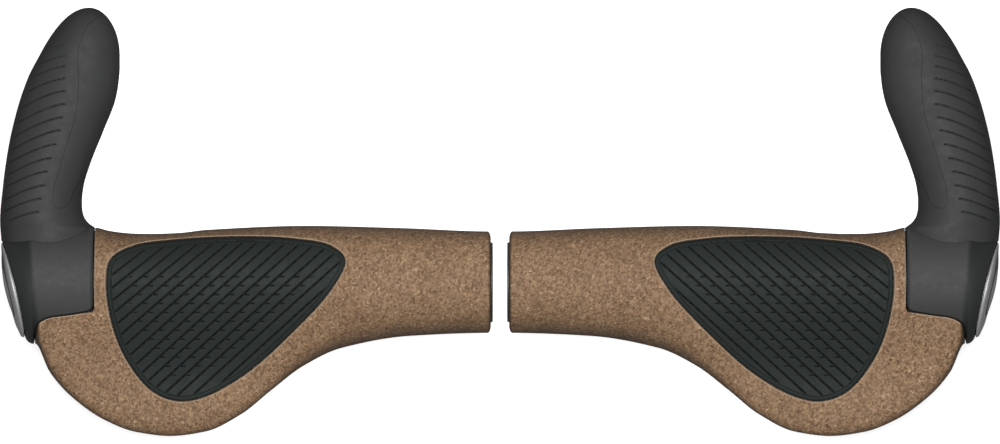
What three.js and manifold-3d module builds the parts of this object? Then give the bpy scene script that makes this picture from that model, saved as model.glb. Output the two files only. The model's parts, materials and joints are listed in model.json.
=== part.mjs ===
// A pair of handlebar grips with bar ends. Millimetres, +Z up, +Y forward (away from the rider), +X to the
// rider's right. The pair stands on z = 0 with the origin at the middle of its footprint.
// Each piece is built for the right-hand grip about the handlebar's axis, with x the distance outboard from
// the middle of the pair. The left-hand grip is the same set of pieces in a mirrored group.

import * as THREE from 'three';
import { mergeVertices } from 'three/addons/utils/BufferGeometryUtils.js';
import Module from 'manifold-3d';

const wasm = await Module();
wasm.setup();

// Driving dimensions.
const AXIS_Y = -18.1;            // the handlebar's axis in the finished pair
const AXIS_Z = 22.2;
const GAP = 0.3;                 // kept between pieces that touch on the real grip
const BORE_RADIUS = 11.15;       // takes a 22.2 mm handlebar
const CORE_RADIUS = 12.4;        // outside of the stiff core's tube
const LIP_RADIUS = 11.95;
const LIP_X = 2.15;              // inboard end of the core
const CORK_X = 2.75;             // inboard end of the cork
const CORK_END_RADIUS = 13.1;
const BARREL_RADIUS = 15.3;      // the cork's radius behind that rounding
const CORK_END_ROUND = 1.0;      // length of the cork's rounded inboard end
const POCKET_X = 121.3;          // where the cork stops to make room for the clamp collar
const COLLAR_X = 121.7;
const COLLAR_RADIUS = 17.0;
const COLLAR_EDGE_RADIUS = 15.7; // the collar's inboard edge is bevelled down to this
const COLLAR_EDGE_LENGTH = 1.5;
const COLLAR_BORE = CORE_RADIUS + GAP;
const POCKET_RADIUS = COLLAR_RADIUS + 0.35;
const POCKET_ROUND = 0.75;       // fillet at the pocket's inboard corner
const POCKET_FRONT = -8.5;       // forward of this the cork is cut away at every height
const RELIEF_X = 132.2;          // a notch in the wing's underside, where the clamp bolt's head swings
const RELIEF_REAR = -16.6;
const RELIEF_TOP = -9.4;
const COLLAR_STRAIGHT_END = 139.3;
const HEEL_X = 139.75;           // past the wing's end the collar grows rearward to lie flush with it
const HEEL_SWELL = 0.085;
const COLLAR_BULGE = 0.09;
const CORE_END_X = 139.6;        // outboard end of the core's collet fingers
const BAR_STOP_X = 140.6;        // the plug's flat face, where the handlebar's end stops

const WING_ROLL_X = 137.6;       // from here the wing's outboard end rolls over
const WING_END_X = 139.45;
const WING_ROLL_LENGTH = 1.9;
const WING_UPPER = 8;            // height of the wing's top near its rear edge
const WING_LOWER = -2.6;         // height of its underside there
const WING_DROP_Y = 33;          // how far behind the handlebar the wing has thinned to that
const WING_NOSE_POWER = 12;      // bluntness of the wing's rear edge

const PAD_SINK = 0.3;            // how far the pad lies below the cork's surface
const PAD_DEPTH = 2.6;
const PAD_POCKET_DEPTH = PAD_DEPTH + GAP;

const WEB_LOW = 0.6;             // the core's web inside the wing
const WEB_HIGH = 3.2;

const HORN_ROOT_Y = 6;           // inside the collar
const HORN_TIP_START_Y = 68;
const HORN_TIP_Y = 82.4;
const HORN_TIP_X = 123.3;
const HORN_TIP_INNER = 8.9;      // half widths where the tip's arcs start
const HORN_TIP_OUTER = 14.9;
const HORN_TIP_HEIGHT = 10.4;
const SKIN = 1.9;                // thickness of the horn's rubber

const LUG_X = 138;               // the bolt's place along the handlebar
const LUG_WIDTH = 10;
const LUG_HALF_LENGTH = 9.5;
const LUG_TOP = -12;             // inside the collar's wall
const BOLT_Z = -17.2;
const BOLT_RADIUS = 2.5;         // M5
const BOLT_HOLE_RADIUS = 2.8;
const BOLT_HEAD_RADIUS = 4.25;
const BOLT_HEAD_LENGTH = 5;
const BOLT_LENGTH = 16;
const SOCKET_RADIUS = 2.3;       // corner radius of the 4 mm hexagon socket
const SOCKET_DEPTH = 2.6;
const SEAT_Y = -5.6;             // the counterbore's floor
const COUNTERBORE_RADIUS = 5.1;
const WASHER_RADIUS = 4.8;
const WASHER_THICKNESS = 1.0;
const NUT_CORNER_RADIUS = 4.62;  // 8 mm across flats
const NUT_LENGTH = 4;
const NUT_POCKET_Y = 5.2;
const SLIT = 1.6;                // the split under the collar

const CAP_X = 145.75;            // centre of the slanted outer end
const CAP_Y = -2.2;
const CAP_SLANT = 13.4;          // degrees the end faces rearward
const CAP_TILT = 4;              // degrees it faces upward
const CAP_SEAT_RADIUS = 14.9;
const RING_RADIUS = 14.5;
const RING_EDGE = 0.8;           // the ring's height over its seat at the rim, on its bevel and at its hole
const RING_BEVEL = 1.3;
const RING_BEVEL_RADIUS = 13.6;
const RING_CREST = 1.9;
const RING_SPIGOT_RADIUS = 12.6;
const RING_SPIGOT_LENGTH = 1.2;
const RING_HOLE_RADIUS = 10.2;
const PLUG_RADIUS = 9.8;
const PLUG_FLANGE_RADIUS = 10.9;
const PLUG_FLANGE_LENGTH = 1.2;
const PLUG_PROUD = 2.7;
const PLUG_DOME_RADIUS = 43;

const ROUND = 28;                // facets round a full turn
const CORK_FACETS = 28;
const HORN_FACETS = 16;

// ---- Curves -------------------------------------------------------------------------------------

// A smooth function through [position, value] stations, with no overshoot between them.
function through(stations) {
  const last = stations.length - 1;
  const slopes = stations.map((station, i) => {
    if (i === 0 || i === last) return 0;
    const [x0, v0] = stations[i - 1];
    const [x1, v1] = station;
    const [x2, v2] = stations[i + 1];
    const before = (v1 - v0) / (x1 - x0);
    const after = (v2 - v1) / (x2 - x1);
    return before * after > 0 ? (2 * before * after) / (before + after) : 0;
  });
  return (x) => {
    let i = 0;
    while (i < last - 1 && x > stations[i + 1][0]) i += 1;
    const [x0, v0] = stations[i];
    const [x1, v1] = stations[i + 1];
    const span = x1 - x0;
    const t = THREE.MathUtils.clamp((x - x0) / span, 0, 1);
    const start = (1 + 2 * t) * (1 - t) ** 2 * v0 + t * (1 - t) ** 2 * span * slopes[i];
    const end = t * t * (3 - 2 * t) * v1 + t * t * (t - 1) * span * slopes[i + 1];
    return start + end;
  };
}

// Distances of the cork's surface from the handlebar's axis, along the grip.
const frontReach = through([
  [3, 15.3], [30, 16.3], [58, 16.95], [88, 15.8], [104, 14.55], [114, 14.8], [121.3, 15.7], [140, 16.8],
]);
const topHeight = through([[3, 15.3], [30, 16.2], [60, 16.7], [100, 16.3], [124, 16.1], [140, 15.2]]);
const bottomDepth = through([[3, 15.3], [30, 15.9], [60, 16.1], [100, 15.6], [140, 15.8]]);
const rearReach = through([
  [3, 15.2], [27, 16.1], [47.5, 19.7], [59, 25.1], [68.5, 32.3], [77.5, 39.5], [88.5, 44.8],
  [99, 46.1], [109, 44.9], [118.5, 41.3], [128.7, 34.1], [135, 26.9], [139.45, 18.4],
]);

// The horn's inner and outer edges and half height, along y.
const hornInner = through([
  [6, 121.8], [15.5, 121.8], [18.2, 123.6], [20.5, 125.1], [24, 125.4], [34.4, 123.3],
  [45.2, 119.1], [55, 115.4], [62, 114.25], [68, 114.4],
]);
const hornOuter = through([
  [6, 149.5], [12, 149.6], [18.2, 150], [29, 149.1], [39.8, 147.6], [50.6, 145.2], [61.4, 141.6], [68, 138.2],
  [72, 136],
]);
const hornHeight = through([
  [6, 12.3], [18, 12.3], [31, 11.7], [45, 11.4], [58, 11.5], [68, HORN_TIP_HEIGHT],
]);

// The palm pad's outline seen from above.
const PAD_OUTLINE = [
  [117.7, 0.5], [116.4, 7], [110, 10.8], [98, 12.6], [79, 13.6], [61.7, 13], [50.5, 10.8], [46.4, 6.8],
  [50.3, -1.8], [62.8, -15.5], [76, -27.2], [88, -34], [96, -35.5], [104, -32.6], [111.5, -23.6],
  [116, -12.5],
];

// The horn inlay's seam seen from above; the last three points lie past the horn's inner edge.
const INLAY_OUTLINE = [
  [133.2, 22.4], [133.8, 26], [130.7, 38], [127, 50.5], [126.1, 61], [126.2, 70], [122.5, 78], [112, 82],
  [104, 66], [108, 40], [121, 35], [127, 28.4], [129.6, 22.9],
];

// The outline of the core's web inside the palm wing.
const WEB_OUTLINE = [[60, -8], [69, -23], [84, -31], [100, -32.5], [114, -29], [119, -20], [119, -8]];

function closedOutline(points, samples) {
  const curve = new THREE.CatmullRomCurve3(points.map(([x, y]) => new THREE.Vector3(x, y, 0)), true);
  return curve.getSpacedPoints(samples).slice(0, -1);
}

// The same outline moved outward by a distance, or inward by a negative one.
function grown(outline, distance) {
  const turn = Math.sign(THREE.ShapeUtils.area(outline));
  return outline.map((point, i) => {
    const before = outline[(i + outline.length - 1) % outline.length];
    const after = outline[(i + 1) % outline.length];
    const along = after.clone().sub(before).normalize();
    return new THREE.Vector3(point.x + turn * along.y * distance, point.y - turn * along.x * distance, 0);
  });
}

// ---- Solids -------------------------------------------------------------------------------------

function solid(geometry) {
  const bare = geometry.clone();
  bare.deleteAttribute('normal');
  bare.deleteAttribute('uv');
  const welded = mergeVertices(bare, 1e-4);
  const mesh = new wasm.Mesh({
    numProp: 3,
    vertProperties: Float32Array.from(welded.attributes.position.array),
    triVerts: Uint32Array.from(welded.index.array),
  });
  return new wasm.Manifold(mesh);
}

function geometryOf(manifold) {
  const mesh = manifold.getMesh();
  const geometry = new THREE.BufferGeometry();
  geometry.setAttribute('position', new THREE.BufferAttribute(Float32Array.from(mesh.vertProperties), 3));
  geometry.setIndex(new THREE.BufferAttribute(Uint32Array.from(mesh.triVerts), 1));
  geometry.computeVertexNormals();
  return geometry;
}

// A closed solid skinned over rings of points, each ring running the same way round, with flat ends.
function loft(rings) {
  const count = rings[0].length;
  const middle = (ring) => ring.reduce((sum, p) => sum.add(p), new THREE.Vector3()).divideScalar(count);
  const positions = [...rings.flat(), middle(rings[0]), middle(rings[rings.length - 1])];
  const first = rings.length * count;
  const lastRing = first - count;
  const index = [];
  for (let j = 0; j < count; j += 1) {
    const next = (j + 1) % count;
    for (let i = 0; i < rings.length - 1; i += 1) {
      const a = i * count + j;
      const b = i * count + next;
      index.push(a, b, b + count, a, b + count, a + count);
    }
    index.push(first, next, j);
    index.push(first + 1, lastRing + j, lastRing + next);
  }
  const numbers = new Float32Array(positions.flatMap((p) => p.toArray()));
  const geometry = new THREE.BufferGeometry();
  geometry.setAttribute('position', new THREE.BufferAttribute(numbers, 3));
  geometry.setIndex(index);
  return solid(geometry);
}

// A solid turned about the x axis from a closed profile of [x, radius] points.
function turnedOnX(profile, facets = ROUND) {
  const points = profile.map(([x, radius]) => new THREE.Vector2(radius, x));
  return solid(new THREE.LatheGeometry(points, facets).rotateZ(-Math.PI / 2));
}

function rodOnX(radius, x0, x1, facets = ROUND) {
  return turnedOnX([[x0, 0], [x0, radius], [x1, radius], [x1, 0]], facets);
}

// A rod along y in the clamp lug, between two places on that axis.
function rodInLug(radius, y0, y1, facets = 24) {
  const rod = new THREE.CylinderGeometry(radius, radius, y1 - y0, facets);
  return solid(rod.translate(LUG_X, (y0 + y1) / 2, BOLT_Z));
}

function block(x0, x1, y0, y1, z0, z1) {
  const box = new THREE.BoxGeometry(x1 - x0, y1 - y0, z1 - z0);
  return solid(box.translate((x0 + x1) / 2, (y0 + y1) / 2, (z0 + z1) / 2));
}

function prism(outline, z0, z1) {
  const shape = new THREE.Shape(outline.map((p) => new THREE.Vector2(p.x, p.y)));
  const extruded = new THREE.ExtrudeGeometry(shape, { depth: z1 - z0, bevelEnabled: false });
  return solid(extruded.translate(0, 0, z0));
}

// Turns a shape made about +Y so that it stands on the slanted outer end, with y = 0 on the seat.
function onCap(geometry) {
  const slant = THREE.MathUtils.degToRad(CAP_SLANT);
  const tilt = THREE.MathUtils.degToRad(CAP_TILT);
  const out = new THREE.Vector3(
    Math.cos(slant) * Math.cos(tilt),
    -Math.sin(slant) * Math.cos(tilt),
    Math.sin(tilt),
  );
  const turn = new THREE.Quaternion().setFromUnitVectors(new THREE.Vector3(0, 1, 0), out);
  return geometry.applyQuaternion(turn).translate(CAP_X, CAP_Y, 0);
}

function turnedOnCap(profile, facets = ROUND) {
  const points = profile.map(([height, radius]) => new THREE.Vector2(radius, height));
  return solid(onCap(new THREE.LatheGeometry(points, facets)));
}

// ---- The grip -----------------------------------------------------------------------------------

// One ring of the cork's outside: round on the barrel, and drawn out rearward into the thin wing.
function corkRing(x, shrink = 1) {
  const wing = THREE.MathUtils.smoothstep(x, 34, 74);
  const roll = x > WING_ROLL_X ? Math.sqrt(1 - ((x - WING_ROLL_X) / WING_ROLL_LENGTH) ** 2) : 1;
  const front = frontReach(x) * shrink;
  const rear = rearReach(x) * shrink;
  const top = topHeight(x) * shrink;
  const bottom = -bottomDepth(x) * shrink;
  const power = THREE.MathUtils.lerp(2, WING_NOSE_POWER, wing);
  const ring = [];
  for (let i = 0; i < CORK_FACETS; i += 1) {
    const angle = (2 * Math.PI * i) / CORK_FACETS;
    const across = Math.cos(angle);
    const up = Math.sin(angle);
    if (across >= 0) {
      ring.push(new THREE.Vector3(x, front * across, roll * (up > 0 ? top : -bottom) * up));
    } else {
      const nose = THREE.MathUtils.lerp(Math.abs(up), Math.sqrt(1 - (-across) ** power), wing);
      const drop = wing * THREE.MathUtils.smoothstep(-rear * across, 0, WING_DROP_Y);
      const crest = (drop * (WING_UPPER + WING_LOWER)) / 2;
      const upper = THREE.MathUtils.lerp(top, WING_UPPER, drop) - crest;
      const lower = THREE.MathUtils.lerp(bottom, WING_LOWER, drop) - crest;
      ring.push(new THREE.Vector3(x, rear * across, roll * (crest + nose * (up > 0 ? upper : lower))));
    }
  }
  return ring;
}

function corkOutside() {
  const rings = [];
  for (const share of [0, 0.2, 0.6]) {
    const x = CORK_X + share * CORK_END_ROUND;
    const shrink = THREE.MathUtils.lerp(CORK_END_RADIUS / BARREL_RADIUS, 1, Math.sqrt(share * (2 - share)));
    rings.push(corkRing(x, shrink));
  }
  const places = [3.75, 20, 34, 44, 52, 59, 66, 73, 81, 90, 99, 108, 115, 121, 126, 130.5, 134];
  for (const x of places) rings.push(corkRing(x));
  for (const share of [0, 0.5, 0.83, 1]) {
    rings.push(corkRing(THREE.MathUtils.lerp(WING_ROLL_X, WING_END_X, share)));
  }
  return loft(rings);
}

const padOutline = closedOutline(PAD_OUTLINE, 36);
const cork = corkOutside();

function palmPad() {
  const upper = prism(padOutline, -10, 30).intersect(cork.translate(0, 0, -PAD_SINK));
  return upper.subtract(cork.translate(0, 0, -PAD_SINK - PAD_DEPTH));
}

function coreWeb(room) {
  return prism(grown(closedOutline(WEB_OUTLINE, 24), room), WEB_LOW - room, WEB_HIGH + room);
}

function corkGrip() {
  const padFloor = cork.translate(0, 0, -PAD_SINK - PAD_POCKET_DEPTH);
  const padPocket = prism(grown(padOutline, GAP), -10, 30).subtract(padFloor);
  const bore = rodOnX(CORE_RADIUS + GAP, 0, 160);
  const collarPocket = turnedOnX([
    [POCKET_X, 0], [POCKET_X, POCKET_RADIUS - POCKET_ROUND], [POCKET_X + POCKET_ROUND, POCKET_RADIUS],
    [160, POCKET_RADIUS], [160, 0],
  ]);
  const frontCut = block(POCKET_X, 160, POCKET_FRONT + POCKET_ROUND, 30, -30, 30)
    .add(block(POCKET_X + POCKET_ROUND, 160, POCKET_FRONT, 30, -30, 30));
  const relief = block(RELIEF_X, 160, RELIEF_REAR, 0, -30, RELIEF_TOP);
  return cork
    .subtract(padPocket)
    .subtract(bore)
    .subtract(coreWeb(GAP))
    .subtract(collarPocket)
    .subtract(frontCut)
    .subtract(relief);
}

function gripCore() {
  const outside = turnedOnX([
    [LIP_X, 0], [LIP_X, LIP_RADIUS], [CORK_X, LIP_RADIUS], [CORK_X, CORE_RADIUS],
    [CORE_END_X, CORE_RADIUS], [CORE_END_X, 0],
  ]);
  let core = outside.add(coreWeb(0)).subtract(rodOnX(BORE_RADIUS, 0, 160));
  for (const angle of [Math.PI / 4, (3 * Math.PI) / 4]) {
    const cut = new THREE.BoxGeometry(40, 2.2, 40).rotateX(angle).translate(CORE_END_X + 3, 0, 0);
    core = core.subtract(solid(cut));
  }
  return core;
}

// ---- The bar end --------------------------------------------------------------------------------

// One ring of the horn, a flattened round in a plane across y, drawn in from the rubber's outside by inset.
function hornRing(y, inset) {
  let inner = hornInner(y);
  let outer = hornOuter(y);
  let height = hornHeight(y);
  if (y > HORN_TIP_START_Y) {
    const run = (y - HORN_TIP_START_Y) / (HORN_TIP_Y - HORN_TIP_START_Y);
    inner = HORN_TIP_X - HORN_TIP_INNER * Math.sqrt(1 - run * run);
    outer = HORN_TIP_X + HORN_TIP_OUTER * Math.sqrt(1 - run);
    height = HORN_TIP_HEIGHT * Math.sqrt(1 - run * run);
  }
  const middle = (inner + outer) / 2;
  const halfWidth = Math.max((outer - inner) / 2 - inset, 0.4);
  const halfHeight = Math.max(height - inset, 0.4);
  const ring = [];
  for (let i = 0; i < HORN_FACETS; i += 1) {
    const angle = (2 * Math.PI * i) / HORN_FACETS;
    ring.push(new THREE.Vector3(middle + halfWidth * Math.sin(angle), y, halfHeight * Math.cos(angle)));
  }
  return ring;
}

function horn(inset) {
  const places = [HORN_ROOT_Y, 16, 18.5, 21.5, 28, 36, 45, 54, 62, HORN_TIP_START_Y];
  const end = HORN_TIP_Y - inset;
  for (const share of [0.4, 0.72, 0.92, 0.99]) {
    places.push(THREE.MathUtils.lerp(HORN_TIP_START_Y, end, share));
  }
  return loft(places.map((y) => hornRing(y, inset)));
}

// The collar's outside, grown by room: straight round the handlebar, then drawn over to the slanted end.
function collarOutside(room = 0, start = COLLAR_X) {
  const circle = [];
  for (let i = 0; i < ROUND; i += 1) {
    const angle = (2 * Math.PI * i) / ROUND;
    circle.push(new THREE.Vector3(0, Math.cos(angle), Math.sin(angle)));
  }
  const at = (x, radius) => circle.map((p) => {
    return new THREE.Vector3(x, p.y * (radius + room), p.z * (radius + room));
  });
  const heel = at(HEEL_X, COLLAR_RADIUS).map((p, i) => {
    p.y *= 1 + HEEL_SWELL * Math.max(0, -circle[i].y);
    return p;
  });
  const slantOffset = Math.tan(THREE.MathUtils.degToRad(CAP_SLANT));
  const tiltOffset = Math.tan(THREE.MathUtils.degToRad(CAP_TILT));
  const rim = at(0, CAP_SEAT_RADIUS).map((p) => {
    return new THREE.Vector3(CAP_X + p.y * slantOffset - p.z * tiltOffset, CAP_Y + p.y, p.z);
  });
  const blended = [0.3, 0.65].map((share) => heel.map((p, i) => {
    const point = p.clone().lerp(rim[i], share);
    const bulge = 1 + COLLAR_BULGE * share * (1 - share);
    return new THREE.Vector3(point.x, point.y * bulge, point.z * bulge);
  }));
  return loft([
    at(start, COLLAR_EDGE_RADIUS),
    at(COLLAR_X + COLLAR_EDGE_LENGTH, COLLAR_RADIUS),
    at(COLLAR_STRAIGHT_END, COLLAR_RADIUS),
    heel,
    ...blended,
    rim,
  ]);
}

function clampLug() {
  const x0 = LUG_X - LUG_WIDTH / 2;
  const body = block(x0, x0 + LUG_WIDTH, -LUG_HALF_LENGTH, LUG_HALF_LENGTH, BOLT_Z, LUG_TOP);
  return body.add(rodInLug(LUG_WIDTH / 2, -LUG_HALF_LENGTH, LUG_HALF_LENGTH));
}

function nutPocket() {
  const hex = new THREE.CylinderGeometry(NUT_CORNER_RADIUS + GAP, NUT_CORNER_RADIUS + GAP, 10, 6);
  return solid(hex.translate(LUG_X, NUT_POCKET_Y + 5, BOLT_Z));
}

function barEndCore() {
  const outside = collarOutside().add(clampLug()).add(horn(SKIN + GAP));
  const spigotSeat = turnedOnCap([
    [-RING_SPIGOT_LENGTH - GAP, 0], [-RING_SPIGOT_LENGTH - GAP, RING_SPIGOT_RADIUS + GAP],
    [5, RING_SPIGOT_RADIUS + GAP], [5, 0],
  ]);
  return outside
    .subtract(rodOnX(COLLAR_BORE, 110, BAR_STOP_X - GAP))
    .subtract(rodOnX(PLUG_FLANGE_RADIUS + GAP, 130, 160))
    .subtract(spigotSeat)
    .subtract(block(110, 160, -SLIT / 2, SLIT / 2, -30, -8))
    .subtract(rodInLug(BOLT_HOLE_RADIUS, -20, 20))
    .subtract(rodInLug(COUNTERBORE_RADIUS, -20, SEAT_Y))
    .subtract(nutPocket());
}

const capRoom = turnedOnCap([[-1, 0], [-1, CAP_SEAT_RADIUS + GAP], [8, CAP_SEAT_RADIUS + GAP], [8, 0]]);
const inlayOutline = closedOutline(INLAY_OUTLINE, 34);
const hornSkin = horn(0).subtract(horn(SKIN)).subtract(collarOutside(GAP, 110)).subtract(capRoom);

function hornRubber() {
  return hornSkin.subtract(prism(inlayOutline, -30, 30));
}

function hornInlay() {
  return hornSkin.intersect(prism(grown(inlayOutline, -GAP), -30, 30));
}

// ---- The clamp's fasteners ----------------------------------------------------------------------

const washerEnd = SEAT_Y - GAP;
const headSeat = washerEnd - WASHER_THICKNESS - GAP;

function clampBolt() {
  const shank = rodInLug(BOLT_RADIUS, headSeat - 1, headSeat + BOLT_LENGTH, 16);
  const head = rodInLug(BOLT_HEAD_RADIUS, headSeat - BOLT_HEAD_LENGTH, headSeat);
  const socket = rodInLug(SOCKET_RADIUS, headSeat - 20, headSeat - BOLT_HEAD_LENGTH + SOCKET_DEPTH, 6);
  return head.add(shank).subtract(socket);
}

function clampWasher() {
  const disc = rodInLug(WASHER_RADIUS, washerEnd - WASHER_THICKNESS, washerEnd);
  return disc.subtract(rodInLug(BOLT_HOLE_RADIUS, -20, 20, 16));
}

function clampNut() {
  const y0 = NUT_POCKET_Y + GAP;
  const hex = rodInLug(NUT_CORNER_RADIUS, y0, y0 + NUT_LENGTH, 6);
  return hex.subtract(rodInLug(BOLT_HOLE_RADIUS, -20, 20, 16));
}

// ---- The slanted outer end ----------------------------------------------------------------------

function endRing() {
  const disc = turnedOnCap([
    [-RING_SPIGOT_LENGTH, 0], [-RING_SPIGOT_LENGTH, RING_SPIGOT_RADIUS], [GAP, RING_SPIGOT_RADIUS],
    [GAP, RING_RADIUS], [RING_EDGE, RING_RADIUS], [RING_BEVEL, RING_BEVEL_RADIUS], [RING_CREST, PLUG_RADIUS],
    [RING_CREST, 0],
  ]);
  return disc.subtract(rodOnX(RING_HOLE_RADIUS, 130, 160));
}

function endPlug() {
  const dome = [];
  for (let i = 0; i <= 4; i += 1) {
    const radius = 4 * i;
    const fall = PLUG_DOME_RADIUS - Math.sqrt(PLUG_DOME_RADIUS ** 2 - radius ** 2);
    dome.push([PLUG_PROUD - fall, radius]);
  }
  const capped = turnedOnCap([...dome, [-30, 16], [-30, 0]].reverse());
  const column = rodOnX(PLUG_RADIUS, BAR_STOP_X, 160).intersect(capped);
  return column.add(rodOnX(PLUG_FLANGE_RADIUS, BAR_STOP_X, BAR_STOP_X + PLUG_FLANGE_LENGTH));
}

// ---- The assembly -------------------------------------------------------------------------------

const nylon = new THREE.MeshStandardMaterial({ color: 0x34373a, roughness: 0.6, metalness: 0 });
const corkCompound = new THREE.MeshStandardMaterial({ color: 0x94785f, roughness: 0.85, metalness: 0 });
const padRubber = new THREE.MeshStandardMaterial({ color: 0x323736, roughness: 0.75, metalness: 0 });
const composite = new THREE.MeshStandardMaterial({ color: 0x454647, roughness: 0.55, metalness: 0 });
const skinRubber = new THREE.MeshStandardMaterial({ color: 0x3a3b3b, roughness: 0.8, metalness: 0 });
const steel = new THREE.MeshStandardMaterial({ color: 0x9a9c9e, roughness: 0.35, metalness: 1 });
const silver = new THREE.MeshStandardMaterial({ color: 0xb4b6b8, roughness: 0.4, metalness: 0.9 });

const PIECES = [
  ['grip_core', gripCore(), nylon],
  ['cork_grip', corkGrip(), corkCompound],
  ['palm_pad', palmPad(), padRubber],
  ['bar_end_core', barEndCore(), composite],
  ['horn_rubber', hornRubber(), skinRubber],
  ['horn_inlay', hornInlay(), skinRubber],
  ['clamp_bolt', clampBolt(), steel],
  ['clamp_washer', clampWasher(), steel],
  ['clamp_nut', clampNut(), steel],
  ['end_ring', endRing(), silver],
  ['end_plug', endPlug(), silver],
];

function grip(side, mirror) {
  const group = new THREE.Group();
  for (const [name, shape, material] of PIECES) {
    const mesh = new THREE.Mesh(geometryOf(shape), material);
    mesh.name = `${side}_${name}`;
    group.add(mesh);
  }
  group.scale.x = mirror;
  return group;
}

const barEndGrips = new THREE.Group();
barEndGrips.add(grip('right', 1), grip('left', -1));
barEndGrips.position.set(0, AXIS_Y, AXIS_Z);

export default barEndGrips;
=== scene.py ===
"""The looks of a pair of cork handlebar grips with rubber palm pads and bar ends.

Pieces are shaped for the right-hand grip in millimetres about the handlebar's axis: x outboard from the
pair's middle, y forward, z up. place() puts them in the frame's metres and mirrors the left ones.
"""
import json
from math import asin, ceil, cos, pi, radians, sin, sqrt

import bmesh
import bpy
import numpy as np
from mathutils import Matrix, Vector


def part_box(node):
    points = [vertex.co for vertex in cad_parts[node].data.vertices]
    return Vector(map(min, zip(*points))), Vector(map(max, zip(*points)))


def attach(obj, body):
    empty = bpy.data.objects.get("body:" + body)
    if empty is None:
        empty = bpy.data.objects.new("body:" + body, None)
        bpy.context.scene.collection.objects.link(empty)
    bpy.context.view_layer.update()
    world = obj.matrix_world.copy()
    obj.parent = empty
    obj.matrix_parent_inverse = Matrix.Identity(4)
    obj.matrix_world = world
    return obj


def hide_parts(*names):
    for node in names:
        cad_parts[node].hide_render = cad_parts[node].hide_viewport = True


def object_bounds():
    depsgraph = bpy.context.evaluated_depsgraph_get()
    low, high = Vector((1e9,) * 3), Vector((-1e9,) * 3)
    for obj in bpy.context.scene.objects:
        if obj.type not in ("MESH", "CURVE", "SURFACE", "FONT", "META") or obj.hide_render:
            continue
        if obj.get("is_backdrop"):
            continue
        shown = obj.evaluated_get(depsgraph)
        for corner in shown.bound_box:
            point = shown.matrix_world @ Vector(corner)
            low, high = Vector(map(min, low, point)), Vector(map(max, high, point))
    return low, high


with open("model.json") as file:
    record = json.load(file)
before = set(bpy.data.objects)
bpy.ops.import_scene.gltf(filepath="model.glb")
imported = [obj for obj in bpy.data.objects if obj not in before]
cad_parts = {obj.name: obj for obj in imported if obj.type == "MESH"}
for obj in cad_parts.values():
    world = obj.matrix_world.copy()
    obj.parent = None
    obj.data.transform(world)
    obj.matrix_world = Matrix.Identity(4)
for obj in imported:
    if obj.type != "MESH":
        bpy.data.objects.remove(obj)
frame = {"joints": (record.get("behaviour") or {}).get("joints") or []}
cad_box = [list(corner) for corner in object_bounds()]

MM = 0.001
JOINTS = {joint["name"]: joint for joint in frame["joints"]}
AXIS = np.array([0, *JOINTS["right_bar_end_tilt"]["pos_m"][1:]])  # the handlebar's axis, in frame metres
BOLT = np.array(JOINTS["right_bolt_turn"]["pos_m"])  # the clamp bolt's axis, in frame metres


def cad_span(piece, direction):
    """Where a right-hand CAD node starts and ends along x (0) or y (1), in grip millimetres."""
    low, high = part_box("right_" + piece)
    return (low[direction] - AXIS[direction]) / MM, (high[direction] - AXIS[direction]) / MM


CORK_X, WING_END_X = cad_span("cork_grip", 0)
CORE_X, CORE_END_X = cad_span("grip_core", 0)
HEAD_Y, BOLT_END_Y = cad_span("clamp_bolt", 1)
WASHER_Y, WASHER_END_Y = cad_span("clamp_washer", 1)
NUT_Y, NUT_END_Y = cad_span("clamp_nut", 1)

GAP = 0.3  # working gap between pieces

# where cutting shapes end
BEYOND_X, BEYOND = 160.0, 30.0  # past the outboard end; past the front, top and bottom
PAST_CORE = 20.0  # past the core and the lug
ROOM_X = 110.0  # inboard of the collar

BORE_RADIUS = 11.15
CORE_RADIUS = 12.4
LIP_RADIUS = 11.95
CORK_FACE_RADIUS = 13.1  # the inboard face, rounded out to CORK_START_RADIUS
CORK_START_RADIUS = 15.3
CORK_END_ROUND = 1.0
POCKET_X = 121.3  # the cork's wall that faces the collar
COLLAR_X = POCKET_X + 0.08  # the collar's inboard face
COLLAR_RADIUS = 17.0
POCKET_RADIUS = COLLAR_RADIUS + 0.2
POCKET_ROUND = 0.75
POCKET_FRONT = -8.5  # forward of this the cork ends at POCKET_X
RELIEF_X, RELIEF_REAR, RELIEF_TOP = 132.2, -16.6, -9.4  # room for the bolt's head
WING_START_X, WING_FULL_X = 34.0, 74.0  # where the barrel turns into the wing
WING_ROLL_X = 137.6  # where the wing's outboard end rounds off
WING_ROLL_LENGTH = 1.9
WING_UPPER, WING_LOWER = 8.0, -2.6  # the wing's heights from WING_DROP_Y behind the axis
WING_DROP_Y = 33.0
WING_NOSE_POWER = 12.0  # how blunt the wing's rear edge is

DARKER_BAND_COLOUR = (0.016, 0.018, 0.0175)  # the collar's outer band, coloured darker
PAINTED_GAP_SHADE = (0.006, 0.004, 0.003)  # painted shade on the collar where the cork's edge overhangs it
EDGE_HIGHLIGHT_COLOUR = (0.42, 0.32, 0.235)  # painted highlight along the cork's edges round the pad and the collar
PLUG_COLOUR = (0.012, 0.012, 0.013)  # the plug's dark ring


# ---- Curves ----

def through(stations):
    """A smooth function through (position, value) stations, with no overshoot between them."""
    xs, vs = np.array(stations, float).T
    steps = np.diff(vs) / np.diff(xs)
    slopes = np.zeros(len(xs))
    product = steps[:-1] * steps[1:]
    total = steps[:-1] + steps[1:]
    same = product > 0
    slopes[1:-1][same] = 2 * product[same] / total[same]

    def at(x):
        x = np.clip(np.asarray(x, float), xs[0], xs[-1])
        i = np.clip(np.searchsorted(xs, x, side="right") - 1, 0, len(xs) - 2)
        span = xs[i + 1] - xs[i]
        t = (x - xs[i]) / span
        start = (1 + 2 * t) * (1 - t) ** 2 * vs[i] + t * (1 - t) ** 2 * span * slopes[i]
        return start + t * t * (3 - 2 * t) * vs[i + 1] + t * t * (t - 1) * span * slopes[i + 1]

    return at


def smoothstep(x, low, high):
    t = np.clip((np.asarray(x, float) - low) / (high - low), 0, 1)
    return t * t * (3 - 2 * t)


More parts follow.
